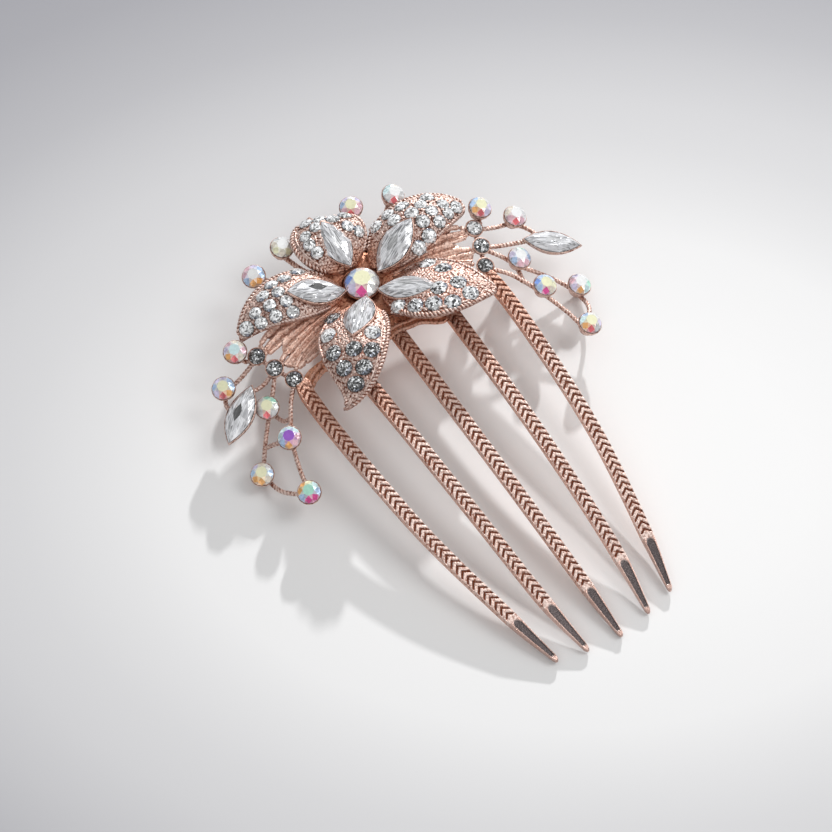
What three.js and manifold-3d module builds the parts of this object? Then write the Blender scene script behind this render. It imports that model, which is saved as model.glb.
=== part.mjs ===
// Five-prong hair comb with a rhinestone flower head. Millimetres, +Z up.
// The comb lies on its tine tips and on the two lowest stem ends of the sprays.
// Mirror plane is X = 0; the tines point to -Y, the flower sits at the +Y end.
import * as THREE from 'three';
import { mergeVertices } from 'three/addons/utils/BufferGeometryUtils.js';
import Module from 'manifold-3d';

const wasm = await Module();
wasm.setup();

// ---- driving dimensions -------------------------------------------------
const FLOWER_Y = 33.0;         // flower centre from the middle of the overall length
const GAP = 0.3;               // clearance left at every brazed or pressed joint
const TINE_W = 3.0;            // tine width where it leaves the rail
const TINE_T = 1.9;            // tine thickness
const TINE_TIP_W = 0.9;        // width of the rounded point
const POINT_LEN = 11.5;        // smooth tapering point of each tine
const TIP_Z = 0.55;            // tine centre height at the points
const TINE_SLOPE = 0.112;      // rise of the tine plane toward the head
const RAIL_T = 1.7;            // rail thickness
const RAIL_HALF = 22.2;        // half length of the rail
const RAIL_MID_Z = 8.9;        // rail centre height at the mirror plane
const RAIL_DROP = 1.7;         // the rail arches down by this much at its ends
const PLATE_R = 6.9;           // backing plate behind the flower
const PLATE_Z = [7.5, 8.4];
const PETAL_T = 1.1;           // petal metal thickness
const RIM_R = 0.5;             // raised rope rim on one edge of each petal
const NAVETTE = { L: 11.4, W: 5.8, crown: 1.2, under: 0.9 };      // pointed oval stones
const SHORT_NAVETTE = { L: 9.8, W: 5.2, crown: 1.1, under: 0.9 };
const BEZEL = 0.3;             // wall of every stone setting
const ROUND_R = 2.05;          // round aurora stones, 4.1 mm in 4.7 mm cups
const SMALL_R = 1.35;          // small round stones, 2.7 mm
const CENTRE_R = 3.15;         // centre stone, 6.3 mm
const STEM_R = 0.55;           // twisted wire stems
const CUP_DROP = 3.1;          // cup depth below the girdle

const TINES = [                // plan points root to tip for x >= 0, from the flower centre
  { bow: 1.0, pts: [[0, -10.5], [0, -46], [0, -72.5], [0, -84.2]] },
  { bow: 2.4, pts: [[10.7, -11], [9.6, -46], [8.2, -71.8], [6.7, -83.2]] },
  { bow: 0.9, pts: [[20.9, -12], [19.3, -46], [15.0, -70.8], [12.5, -81.8]] },
];
const RAIL_EDGE = [[0, -12], [4, -12.6], [8.5, -15], [12, -13], [15.3, -10.6], [18, -11.4],
  [20.5, -13.4], [RAIL_HALF, -13]];   // scalloped edge between the tine roots
const PETALS = {               // centre line, half width, arch, twist and stone seat of each petal
  top: { p: [[0, 4.2, 10.8], [0, 7.5, 14.8], [0, 12.5, 16.8], [0, 17.6, 11.8]],
    w: 5.0, crown: 2.0, tilt: 0, skew: 0, rim: 1, stone: SHORT_NAVETTE, seat: [[0, 3.8, 12.3], [0, 13.2, 14.9]] },
  side: { p: [[4.1, 1.1, 10.6], [9, 3.6, 15.8], [17.5, 6.4, 17], [25.2, 2.9, 11]],
    w: 4.4, crown: 2.2, tilt: -0.5, skew: 0, rim: 1, stone: NAVETTE, seat: [[3.8, 0.1, 11.7], [13.7, 3.7, 15.8]] },
  low: { p: [[2.9, -3.3, 10.8], [6.8, -8, 16.2], [13, -14.1, 18], [18.1, -19.2, 14]],
    w: 5.0, crown: 1.5, tilt: -1.8, skew: 0.3, rim: -1, stone: NAVETTE, seat: [[1.5, -3.6, 12.2], [9.2, -11.1, 16.2]] },
};
const ROUNDS = {               // table centres of the round stones on the right-hand side
  a: [7.7, 15.4, 11.3], b: [16, 12.8, 11.7], c: [27.8, 1, 11.6], d: [33.1, -2.9, 8.8],
  e: [28.6, -10.9, 8.5], f: [28.9, -18.9, 9], g: [36, -20, 4.13], h: [31.7, -29.6, 7],
};
const SMALLS = { one: [24.6, -1.5, 10.2], two: [23.4, -5.7, 10.5], three: [21.6, -9.6, 10.2] };
const SPRAY_TIPS = [[30, -6.6, 8.6], [39.3, -13.1, 6.2]];

// ---- materials ----------------------------------------------------------
const metal = () => new THREE.MeshStandardMaterial({ name: 'rose_gold_plate', color: 0xc98a72,
  metalness: 1, roughness: 0.3 });
const aurora = () => new THREE.MeshStandardMaterial({ name: 'aurora_glass', color: 0xe6dcf2,
  metalness: 0.1, roughness: 0.05 });
const clear = () => new THREE.MeshStandardMaterial({ name: 'clear_glass', color: 0xd7dbe0,
  metalness: 0.1, roughness: 0.05 });

// ---- solids -------------------------------------------------------------
const V = (a) => new THREE.Vector3(a[0], a[1], a[2]);
const mirror = (a, side) => [a[0] * side, a[1], a[2]];

function volume(geometry) {
  const p = geometry.getAttribute('position'), ix = geometry.index;
  const a = new THREE.Vector3(), b = new THREE.Vector3(), c = new THREE.Vector3();
  let sum = 0;
  for (let i = 0; i < ix.count; i += 3) {
    a.fromBufferAttribute(p, ix.getX(i));
    b.fromBufferAttribute(p, ix.getX(i + 1));
    c.fromBufferAttribute(p, ix.getX(i + 2));
    sum += a.dot(b.cross(c)) / 6;
  }
  return sum;
}

// closed skin over rings of equal count, each end closed by a fan
function loft(rings) {
  const n = rings[0].length, pos = [], idx = [];
  for (const ring of rings) for (const q of ring) pos.push(q.x, q.y, q.z);
  for (let i = 0; i + 1 < rings.length; i++) {
    for (let j = 0; j < n; j++) {
      const a = i * n + j, b = i * n + (j + 1) % n;
      idx.push(a, b, b + n, a, b + n, a + n);
    }
  }
  for (const [k, flip] of [[0, true], [rings.length - 1, false]]) {
    const mid = new THREE.Vector3();
    rings[k].forEach((q) => mid.add(q));
    mid.divideScalar(n);
    const m = pos.length / 3;
    pos.push(mid.x, mid.y, mid.z);
    for (let j = 0; j < n; j++) {
      const a = k * n + j, b = k * n + (j + 1) % n;
      if (flip) idx.push(m, b, a); else idx.push(m, a, b);
    }
  }
  const g = new THREE.BufferGeometry();
  g.setAttribute('position', new THREE.Float32BufferAttribute(pos, 3));
  g.setIndex(idx);
  if (volume(g) < 0) {
    const flipped = [];
    for (let i = 0; i < idx.length; i += 3) flipped.push(idx[i], idx[i + 2], idx[i + 1]);
    g.setIndex(flipped);
  }
  g.computeVertexNormals();
  return g;
}

function solid(geometry) {
  let g = geometry.clone();
  g.deleteAttribute('normal');
  g.deleteAttribute('uv');
  g = mergeVertices(g, 1e-4);
  return new wasm.Manifold(new wasm.Mesh({ numProp: 3,
    vertProperties: new Float32Array(g.getAttribute('position').array),
    triVerts: new Uint32Array(g.index.array) }));
}

function skin(body) {
  const m = body.getMesh();
  const g = new THREE.BufferGeometry();
  g.setAttribute('position', new THREE.BufferAttribute(new Float32Array(m.vertProperties), 3));
  g.setIndex(new THREE.BufferAttribute(new Uint32Array(m.triVerts), 1));
  g.computeVertexNormals();
  return g;
}

const fuse = (list) => list.map(solid).reduce((a, b) => a.add(b));

function wire(points, radius = STEM_R, sides = 6, steps = 4) {
  const section = new THREE.Shape();
  for (let i = 0; i < sides; i++) {
    const a = (2 * Math.PI * i) / sides;
    const x = radius * Math.cos(a), y = radius * Math.sin(a);
    if (i === 0) section.moveTo(x, y); else section.lineTo(x, y);
  }
  const curve = new THREE.CatmullRomCurve3(points.map(V));
  return new THREE.ExtrudeGeometry(section, { steps, extrudePath: curve, bevelEnabled: false });
}

function turned(profile, seg) {
  const g = new THREE.LatheGeometry(profile.map(([r, z]) => new THREE.Vector2(r, z)), seg);
  g.rotateX(Math.PI / 2);
  return g;
}

// half outline factor of a pointed oval
const lens = (u) => 1 - u * u;
function navetteRing(L, W, z, grow = 0, n = 8) {
  const ring = [];
  for (let i = 0; i < 2 * n; i++) {
    const k = i < n ? i / n : (2 * n - i) / n;
    const u = -Math.cos(Math.PI * k);
    const x = u * (L / 2 + 1.6 * grow), y = lens(u) * (W / 2 + grow);
    ring.push(new THREE.Vector3(x, i < n ? y : -y, z));
  }
  return ring;
}

function navetteStone(d) {
  return loft([
    navetteRing(d.L * 0.5, d.W * 0.3, -d.under), navetteRing(d.L, d.W, -0.1),
    navetteRing(d.L, d.W, 0.1), navetteRing(d.L * 0.72, d.W * 0.55, d.crown)]);
}

// block that carries a pointed oval stone, and the pocket cut into it
function navetteBlock(d) {
  return loft([navetteRing(d.L * 0.6, d.W * 0.7, -d.under - 0.5, 0),
    navetteRing(d.L, d.W, -0.5, BEZEL), navetteRing(d.L, d.W, 0.25, BEZEL)]);
}
function navettePocket(d) {
  return loft([navetteRing(d.L * 0.52, d.W * 0.34, -d.under - 0.15),
    navetteRing(d.L, d.W, -0.2, 0.1), navetteRing(d.L, d.W, 3, 0.1)]);
}

function roundStone(r, seg = 12) {
  const h = 0.42 * r;
  return turned([[0, -0.68 * r], [0.1 * r, -0.68 * r], [r, -0.05 * r], [r, 0.05 * r],
    [0.55 * r, h], [0, h]], seg);
}
const roundCup = (r, drop, seg = 10) => turned(
  [[0, -drop], [0.6 * r, -drop], [r + BEZEL, -0.12 * r], [r + BEZEL, 0.1], [0, 0.1]], seg);
const roundPocket = (r, seg = 10) => turned(
  [[0, -0.74 * r], [0.25 * r, -0.74 * r], [r + 0.12, -0.1 * r], [r + 0.12, 3], [0, 3]], seg);

// stone frame: local +Z along the tilted normal
function lean(side, x, y) {
  const n = new THREE.Vector3(x * side, y, 1).normalize();
  return new THREE.Quaternion().setFromUnitVectors(new THREE.Vector3(0, 0, 1), n);
}
function placed(g, q, at) {
  const m = new THREE.Matrix4().compose(V(at), q, new THREE.Vector3(1, 1, 1));
  return g.clone().applyMatrix4(m);
}
const girdle = (at, q, r) => V(at).addScaledVector(
  new THREE.Vector3(0, 0, 1).applyQuaternion(q), -0.42 * r).toArray();

// ---- assembly -----------------------------------------------------------
const root = new THREE.Group();
root.name = 'hair_comb';
const comb = new THREE.Group();
comb.name = 'comb_and_flower';
comb.position.set(0, FLOWER_Y, 0);
root.add(comb);

function add(name, geometry, material, at = [0, 0, 0], q = null, parent = comb) {
  const mesh = new THREE.Mesh(geometry, material);
  mesh.name = name;
  mesh.position.set(at[0], at[1], at[2]);
  if (q) mesh.quaternion.copy(q);
  parent.add(mesh);
  return mesh;
}

// comb casting: five tines growing out of one arched rail
function tineZ(y, bow) {
  const u = Math.max(0, Math.min(1, (y + 83) / 72));
  return TIP_Z + TINE_SLOPE * 72 * u + bow * Math.sin(Math.PI * u);
}
function tine(t, side) {
  const curve = new THREE.CatmullRomCurve3(t.pts.map(([x, y]) => new THREE.Vector3(x * side, y, 0)));
  const length = curve.getLength(), rings = [], steps = 11;
  for (let i = 0; i <= steps; i++) {
    const s = i < 8 ? (i / 8) * (1 - POINT_LEN / length) : 1 - ((steps - i) / 3) * (POINT_LEN / length) * 0.97;
    const at = curve.getPointAt(Math.min(1, s)), dir = curve.getTangentAt(Math.min(1, s));
    const point = Math.max(0, (s - 1 + POINT_LEN / length) / (POINT_LEN / length));
    const w = THREE.MathUtils.lerp(TINE_W - 0.6 * s, TINE_TIP_W, point ** 1.25) / 2;
    const h = THREE.MathUtils.lerp(TINE_T, 1.1, point) / 2;
    const z = tineZ(at.y, t.bow);
    const nx = -dir.y, ny = dir.x;
    const ring = [[-1, -0.45], [-0.6, -1], [0.6, -1], [1, -0.45], [1, 0.55], [0.55, 1], [-0.55, 1], [-1, 0.55]]
      .map(([a, b]) => new THREE.Vector3(at.x + nx * a * w, at.y + ny * a * w, z + b * h));
    rings.push(ring);
  }
  return loft(rings);
}
function railEdge(x) {
  const k = Math.max(1, RAIL_EDGE.findIndex(([a]) => a >= x - 1e-6));
  const [a, ya] = RAIL_EDGE[k - 1], [b, yb] = RAIL_EDGE[k];
  const v = (x - a) / (b - a);
  return ya + (yb - ya) * v * v * (3 - 2 * v);
}
function rail() {
  const rings = [], steps = 26;
  for (let i = 0; i <= steps; i++) {
    const u = (2 * i) / steps - 1, x = u * RAIL_HALF;
    const z = RAIL_MID_Z - RAIL_DROP * u * u;
    const low = railEdge(Math.abs(x)), high = -8.1 - 0.8 * u * u;
    rings.push([[low, -0.5], [low + 0.5, -1], [high - 0.5, -1], [high, -0.5],
      [high, 0.5], [high - 0.5, 1], [low + 0.5, 1], [low, 0.5]]
      .map(([y, b]) => new THREE.Vector3(x, y, z + (b * RAIL_T) / 2)));
  }
  return loft(rings);
}
const tines = [tine(TINES[0], 1)];
for (const side of [1, -1]) for (const t of TINES.slice(1)) tines.push(tine(t, side));
add('comb_casting', skin(fuse([rail(), ...tines])), metal());

// backing plate and the centre setting
const disc = turned([[0, 0], [PLATE_R - 0.3, 0], [PLATE_R, 0.3], [PLATE_R, PLATE_Z[1] - PLATE_Z[0]],
  [0, PLATE_Z[1] - PLATE_Z[0]]], 28);
add('backing_plate', disc, metal(), [0, 0.6, PLATE_Z[0]]);
const centreTop = 12.2;
const centreGirdle = centreTop - 0.42 * CENTRE_R;
add('centre_setting', turned([[0, PLATE_Z[1] + GAP - centreGirdle], [2.7, PLATE_Z[1] + GAP - centreGirdle],
  [CENTRE_R + 0.28, -0.6], [CENTRE_R + 0.28, 0.1], [CENTRE_R + 0.1, 0.1], [CENTRE_R + 0.1, -0.3],
  [1.5, -1.05], [0, -1.05]], 24), metal(), [0, 0, centreGirdle]);
add('centre_stone', turned([[0, -0.8], [1.35, -0.8], [CENTRE_R, -0.12], [CENTRE_R, 0.1],
  [CENTRE_R * 0.56, 0.42 * CENTRE_R], [0, 0.42 * CENTRE_R]], 20), aurora(), [0, 0, centreGirdle]);

// petals: arched leaves with a pocket for a pointed oval stone and a raised rope rim
function petalPoint(d, side, s, t, lift = 0) {
  const b = [(1 - s) ** 3, 3 * s * (1 - s) ** 2, 3 * s * s * (1 - s), s ** 3];
  const db = [-3 * (1 - s) ** 2, 3 * (1 - s) ** 2 - 6 * s * (1 - s), 6 * s * (1 - s) - 3 * s * s, 3 * s * s];
  const c = new THREE.Vector3(), h = new THREE.Vector3();
  d.p.forEach((q, i) => { c.addScaledVector(V(q), b[i]); h.addScaledVector(V(q), db[i]); });
  h.z = 0;
  h.normalize();
  const w = (4.55 * d.w * s * (1 - s) ** 1.2 + 1.2 * (1 - s) + 0.3) * (1 - d.skew * (t < 0 ? t : 0.4 * t));
  const k = w / (d.w + 1);
  c.x += -h.y * w * t;
  c.y += h.x * w * t;
  c.z += (d.tilt * t - d.crown * t * t) * k + lift;
  c.x *= side;
  return c;
}
function petalLeaf(d, side) {
  const rings = [], cross = [-1, -0.6, -0.2, 0.2, 0.6, 1];
  for (let i = 0; i <= 9; i++) {
    const s = i / 9;
    rings.push([...cross.map((t) => petalPoint(d, side, s, t)),
      ...cross.slice().reverse().map((t) => petalPoint(d, side, s, t, -PETAL_T))]);
  }
  return loft(rings);
}
function petalRim(d, side) {
  const pts = [0.2, 0.28, 0.38, 0.5, 0.65, 0.8, 0.97].map(
    (s) => petalPoint(d, side, s, d.rim * 0.97, -0.1).toArray());
  return wire(pts, RIM_R, 6, 9);
}
// seat of the pointed oval stone, from its inner point to its outer point
function petalSeat(d, side) {
  const [a, b] = d.seat.map((q) => V(mirror(q, side)));
  const x = b.clone().sub(a).normalize();
  const y = petalPoint(d, side, 0.4, 0.5).sub(petalPoint(d, side, 0.4, -0.5)).multiplyScalar(side);
  y.addScaledVector(x, -y.dot(x)).normalize();
  const q = new THREE.Quaternion().setFromRotationMatrix(
    new THREE.Matrix4().makeBasis(x, y, x.clone().cross(y)));
  return { q, at: a.addScaledVector(x, d.stone.L / 2).toArray() };
}
function petal(key, side, label) {
  const d = PETALS[key], seat = petalSeat(d, side);
  const body = fuse([petalLeaf(d, side), petalRim(d, side), placed(navetteBlock(d.stone), seat.q, seat.at)])
    .subtract(solid(placed(navettePocket(d.stone), seat.q, seat.at)));
  add(`petal_${label}`, skin(body), metal());
  add(`petal_navette_${label}`, navetteStone(d.stone), clear(), seat.at, seat.q);
}
petal('top', 1, 'top');
for (const [side, word] of [[-1, 'left'], [1, 'right']]) {
  petal('side', side, `side_${word}`);
  petal('low', side, `low_${word}`);
}

// ribbed leaf between the side petal and the low petal
function ribbedLeaf(side) {
  const rings = [], folds = 9;
  for (let i = 0; i <= 5; i++) {
    const k = i / 5, top = [], under = [];
    const a = V([8.0 + 13.8 * k, 2.0 - 0.8 * k, 9.0]), b = V([7.6 + 12.8 * k, -5.0 - 2.3 * k, 8.95 - 0.35 * k]);
    for (let j = 0; j < folds; j++) {
      const q = a.clone().lerp(b, j / (folds - 1));
      q.z += (j % 2 ? 0.28 : -0.12);
      q.x *= side;
      top.push(q);
      under.unshift(q.clone().setZ(q.z - 0.8));
    }
    rings.push([...top, ...under]);
  }
  const slots = [[-0.4, 12.5, 17.5], [-2.6, 14.0, 19.0], [-4.8, 12.5, 17.5]];
  let body = solid(loft(rings));
  for (const [y, x0, x1] of slots) {
    const cut = new THREE.BoxGeometry(x1 - x0, 0.7, 4);
    cut.translate((side * (x0 + x1)) / 2, y, 9);
    body = body.subtract(solid(cut));
  }
  return skin(body);
}

// sprays: cups, collars and stems in one casting on each side
const under = (at, q, drop, r) => {
  const n = new THREE.Vector3(0, 0, 1).applyQuaternion(q);
  return V(at).addScaledVector(n, -0.42 * r - drop + 0.25).toArray();
};
function rounds(keys, side, tilt) {
  const out = {};
  for (const k of keys) {
    const q = lean(side, tilt[k][0], tilt[k][1]);
    const table = mirror(ROUNDS[k], side);
    out[k] = { q, table, at: girdle(table, q, ROUND_R), foot: under(table, q, CUP_DROP, ROUND_R) };
  }
  return out;
}
const TILT = { a: [-0.1, -0.15], b: [0.25, -0.2], c: [0.25, -0.2], d: [0.27, -0.2], e: [0.25, -0.2],
  f: [0.25, -0.22], g: [0.27, -0.2], h: [0.25, -0.22] };

for (const [side, word] of [[-1, 'left'], [1, 'right']]) {
  add(`ribbed_leaf_${word}`, ribbedLeaf(side), metal());

  const m = (a) => mirror(a, side);
  const r = rounds(['c', 'd', 'e', 'f', 'g', 'h'], side, TILT);
  const small = {};
  for (const [k, at] of Object.entries(SMALLS)) {
    const q = lean(side, 0.2, -0.2);
    small[k] = { q, at: girdle(m(at), q, SMALL_R), foot: under(m(at), q, 1.3, SMALL_R) };
  }
  const bodies = [];
  for (const k of Object.keys(r)) bodies.push(placed(roundCup(ROUND_R, CUP_DROP), r[k].q, r[k].at));
  for (const k of Object.keys(small)) bodies.push(placed(roundCup(SMALL_R, 1.3, 8), small[k].q, small[k].at));
  // pointed oval setting at the outer end of the spray
  const a = V(m(SPRAY_TIPS[0])), b = V(m(SPRAY_TIPS[1]));
  const x = b.clone().sub(a).normalize();
  const y = new THREE.Vector3(0.1 * side, -0.2, 1).cross(x).normalize();
  const seatQ = new THREE.Quaternion().setFromRotationMatrix(
    new THREE.Matrix4().makeBasis(x, y, x.clone().cross(y)));
  const seatAt = a.clone().add(b).multiplyScalar(0.5).toArray();
  bodies.push(placed(navetteBlock(NAVETTE), seatQ, seatAt));
  const w = (...pts) => bodies.push(wire(pts));
  w(small.one.foot, small.two.foot, small.three.foot);
  w(small.one.foot, m([28.8, -2.2, 6.9]), r.d.foot);
  w(small.one.foot, m([26.4, -0.3, 8.0]), r.c.foot);
  w(small.two.foot, m([26.5, -6.3, 7.6]), m([30.6, -7.1, 7.0]));
  w(small.two.foot, m([25.6, -8.4, 7.6]), r.e.foot);
  w(small.three.foot, m([24.3, -12.6, 8.3]), m([26.8, -16.2, 6.6]), r.f.foot);
  w(r.e.foot, m([26.9, -13.6, 5.2]), m([25.9, -14.9, 7.1]));
  w(r.e.foot, m([32.0, -15.0, 2.9]), m([34.6, -18.4, 1.0]), r.g.foot);
  w(r.f.foot, m([30.4, -16.4, 4.2]), m([32.2, -15.3, 2.8]));
  w(r.f.foot, m([30.0, -24.3, 4.3]), r.h.foot);
  w(r.g.foot, m([34.5, -24.6, 2.4]), r.h.foot);
  w(r.d.foot, m([33.9, -5.2, 5.6]), m([34.6, -8.4, 6.2]));
  let body = fuse(bodies);
  body = body.subtract(solid(placed(navettePocket(NAVETTE), seatQ, seatAt)));
  for (const k of Object.keys(r)) body = body.subtract(solid(placed(roundPocket(ROUND_R), r[k].q, r[k].at)));
  for (const k of Object.keys(small)) {
    body = body.subtract(solid(placed(roundPocket(SMALL_R, 8), small[k].q, small[k].at)));
  }
  add(`spray_casting_${word}`, skin(body), metal());
  for (const k of Object.keys(r)) add(`aurora_stone_${k}_${word}`, roundStone(ROUND_R), aurora(), r[k].at, r[k].q);
  for (const k of Object.keys(small)) {
    add(`small_stone_${k}_${word}`, roundStone(SMALL_R, 8), clear(), small[k].at, small[k].q);
  }
  add(`spray_navette_${word}`, navetteStone(NAVETTE), clear(), seatAt, seatQ);

  // two cups on a forked stem behind the side petal
  const t = rounds(['a', 'b'], side, TILT);
  let fork = fuse([
    placed(roundCup(ROUND_R, CUP_DROP), t.a.q, t.a.at), placed(roundCup(ROUND_R, CUP_DROP), t.b.q, t.b.at),
    wire([m([5.4, 6.4, 8.9]), m([7.0, 10.4, 8.6]), t.a.foot]),
    wire([m([5.6, 6.3, 8.9]), m([10.6, 9.6, 8.6]), t.b.foot])]);
  for (const k of ['a', 'b']) fork = fork.subtract(solid(placed(roundPocket(ROUND_R), t[k].q, t[k].at)));
  add(`rear_fork_${word}`, skin(fork), metal());
  for (const k of Object.keys(t)) add(`aurora_stone_${k}_${word}`, roundStone(ROUND_R), aurora(), t[k].at, t[k].q);
}

export default root;
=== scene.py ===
"""Looks of a five-prong rhinestone hair comb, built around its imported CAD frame.

Shapes are worked out in millimetres from the flower centre, and meshes are written in metres in the row frame.
"""
import math

import bpy
import numpy as np
from mathutils import Matrix, Vector


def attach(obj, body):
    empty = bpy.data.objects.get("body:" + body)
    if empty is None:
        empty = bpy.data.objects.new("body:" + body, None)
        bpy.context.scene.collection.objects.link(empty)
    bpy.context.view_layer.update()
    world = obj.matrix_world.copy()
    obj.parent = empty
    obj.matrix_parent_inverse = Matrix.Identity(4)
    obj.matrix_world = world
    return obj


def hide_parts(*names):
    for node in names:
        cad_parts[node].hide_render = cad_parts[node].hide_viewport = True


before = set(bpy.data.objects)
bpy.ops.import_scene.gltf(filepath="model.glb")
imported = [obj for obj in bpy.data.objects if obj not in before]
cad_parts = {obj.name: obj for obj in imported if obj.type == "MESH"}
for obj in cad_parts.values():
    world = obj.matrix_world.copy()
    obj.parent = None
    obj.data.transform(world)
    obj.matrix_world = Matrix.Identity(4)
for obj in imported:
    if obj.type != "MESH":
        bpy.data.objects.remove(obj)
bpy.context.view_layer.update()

MM = 0.001
FLOWER = np.array([0.0, 33.0, 0.0])  # flower centre in the row frame
UP = np.array([0.0, 0.0, 1.0])


# ---- small geometry helpers ---------------------------------------------
def unit(v):
    v = np.asarray(v, float)
    return v / np.maximum(np.linalg.norm(v, axis=-1, keepdims=True), 1e-12)


def smooth(x):
    x = np.clip(x, 0, 1)
    return x * x * (3 - 2 * x)


def chance(i, j, seed):
    """A repeatable number from 0 to 1 for each pair of whole numbers."""
    return np.modf(np.abs(np.sin(i * 127.1 + j * 311.7 + seed * 74.7) * 43758.5453))[0]


def side_of(p, side):
    return np.array([p[0] * side, *p[1:]], float)


def spline(points, count):
    """Centripetal Catmull-Rom curve through the points, as count points at even distances, and its length."""
    p = np.array(points, float)
    p = np.vstack([2 * p[0] - p[1], p, 2 * p[-1] - p[-2]])
    out = []
    u = np.linspace(0, 1, 40, endpoint=False)[:, None]
    for i in range(1, len(p) - 2):
        p0, p1, p2, p3 = p[i - 1 : i + 3]
        d0, d1, d2 = (max(np.linalg.norm(b - a) ** 0.5, 1e-3) for a, b in ((p0, p1), (p1, p2), (p2, p3)))
        t1 = ((p1 - p0) / d0 - (p2 - p0) / (d0 + d1) + (p2 - p1) / d1) * d1
        t2 = ((p2 - p1) / d1 - (p3 - p1) / (d1 + d2) + (p3 - p2) / d2) * d1
        out.append(p1 + t1 * u + (-3 * p1 + 3 * p2 - 2 * t1 - t2) * u**2 + (2 * p1 - 2 * p2 + t1 + t2) * u**3)
    c = np.vstack([*out, p[-2][None]])
    s = np.r_[0, np.cumsum(np.linalg.norm(np.diff(c, axis=0), axis=1))]
    at = np.linspace(0, s[-1], count)
    return np.stack([np.interp(at, s, c[:, k]) for k in range(c.shape[1])], -1), s[-1]


def frames(c, hint=UP):
    """Two unit directions across a curve at each of its points, carried along without twist."""
    t = unit(np.gradient(c, axis=0))
    n = np.zeros_like(c)
    a = np.asarray(hint, float)
    if abs(a @ t[0]) > 0.9:
        a = np.array([1.0, 0, 0])
    for i in range(len(c)):
        a = a - (a @ t[i]) * t[i]
        a = a / np.linalg.norm(a)
        n[i] = a
    return n, np.cross(t, n)


def beads(u, v, pitch, seed):
    """Height from 0 to 1 of a close layer of little beads on a surface with coordinates u, v in millimetres."""
    gu, gv = u / pitch, v / (pitch * 0.87)
    row0 = np.floor(gv)
    best = np.full(np.shape(u), 9.0)
    for dv in (-1, 0, 1):
        row = row0 + dv
        off = 0.5 * np.mod(row, 2)
        col0 = np.floor(gu - off)
        for du in (-1, 0, 1):
            col = col0 + du
            x = col + off + 0.5 + 0.5 * (chance(col, row, seed) - 0.5)
            y = row + 0.5 + 0.5 * (chance(col, row, seed + 3.3) - 0.5)
            best = np.minimum(best, np.hypot(gu - x, (gv - y) * 0.87))
    return np.sqrt(np.clip(1 - (best / 0.56) ** 2, 0, 1))


def rough_field(p, scale, seed):
    """A smooth repeatable bumpiness from -1 to 1 at points p, with features of about scale millimetres."""
    q = np.asarray(p, float) / scale
    out = np.zeros(q.shape[:-1])
    for k, (a, b, c) in enumerate(((1.9, 2.3, -1.7), (-2.6, 1.5, 2.1), (2.2, -2.9, 1.3), (1.1, 2.7, 2.9))):
        out += np.sin(a * q[..., 0] + b * q[..., 1] + c * q[..., 2] + seed * (k + 1.7))
    return out / 4


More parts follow.
